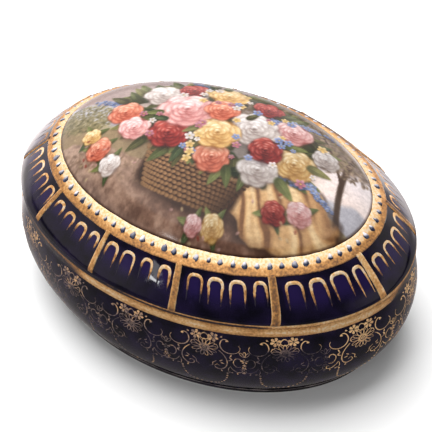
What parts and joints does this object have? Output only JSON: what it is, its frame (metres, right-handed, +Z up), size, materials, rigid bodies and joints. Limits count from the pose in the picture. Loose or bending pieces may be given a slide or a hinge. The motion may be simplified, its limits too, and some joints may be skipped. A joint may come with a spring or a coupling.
{
  "type": "porcelain lidded box",
  "caption": "Oval porcelain keepsake box: a swelling cobalt-blue bowl on a low foot, with a lift-off domed lid, a painted oval field, a beaded gilt border and gilt bars.",
  "frame": {"origin": "under the middle of the foot ring, on the surface the box stands on", "axes": "+Z up, +X along the length of the oval, +Y across it"},
  "size_m": [0.1702, 0.121, 0.0873],
  "materials": {
    "cobalt_glaze": "deep cobalt-blue glaze, high gloss",
    "gilding": "burnished gold over the glaze, lightly worn",
    "picture_enamel": "painted overglaze enamel, glossy"
  },
  "bodies": {
    "base": {"base_bowl": "cobalt_glaze", "base_rim_band": "gilding"},
    "lid": {"lid_shell": "cobalt_glaze", "painted_field": "picture_enamel", "picture_border": "gilding", "lid_rim_band": "gilding", "lid_bar_01": "gilding", "lid_bar_02": "gilding", "lid_bar_03": "gilding", "lid_bar_04": "gilding", "lid_bar_05": "gilding", "lid_bar_06": "gilding", "lid_bar_07": "gilding", "lid_bar_08": "gilding", "lid_bar_09": "gilding", "lid_bar_10": "gilding", "lid_bar_11": "gilding", "lid_bar_12": "gilding"}
  },
  "joints": [
    {"name": "lid_lift", "type": "slide", "parent": "base", "child": "lid", "axis": [0, 0, 1], "range_m": [0, 0.06]}
  ]
}
